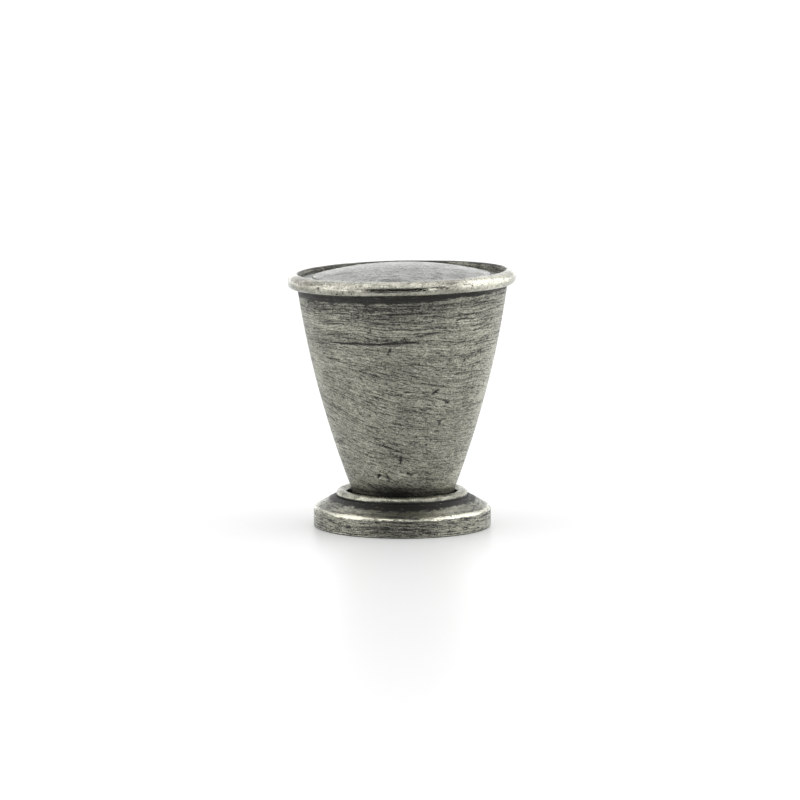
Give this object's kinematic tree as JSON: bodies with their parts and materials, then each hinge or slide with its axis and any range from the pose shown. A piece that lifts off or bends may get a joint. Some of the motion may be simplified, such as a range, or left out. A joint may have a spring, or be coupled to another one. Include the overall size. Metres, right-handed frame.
{
  "type": "cabinet knob",
  "caption": "Tapered round cabinet knob with a low domed face inside a half-round rim, standing in the socket of a separate round backplate, for one screw from behind.",
  "frame": {"origin": "centre of the backplate's back face, which is the face that meets the drawer front", "axes": "+Z along the knob's axis, out of the drawer front; the part is round, so X and Y are free"},
  "size_m": [0.032, 0.032, 0.0372],
  "materials": {
    "antiqued_pewter": "blackened, then brushed back by hand; satin",
    "worn_pewter": "blackened, worn bright on the crest; satin",
    "polished_pewter": "polished over a dark patina; half gloss",
    "brushed_pewter": "finely brushed; satin",
    "insert_brass": "machined"
  },
  "bodies": {
    "plate": {"backplate": "antiqued_pewter", "socket_ring": "worn_pewter"},
    "knob": {"knob_body": "antiqued_pewter", "rim_wire": "polished_pewter", "domed_face": "brushed_pewter", "threaded_insert": "insert_brass"}
  },
  "joints": [
    {"name": "knob_lift", "type": "slide", "parent": "plate", "child": "knob", "axis": [0, 0, 1], "range_m": [0, 0.02]}
  ]
}
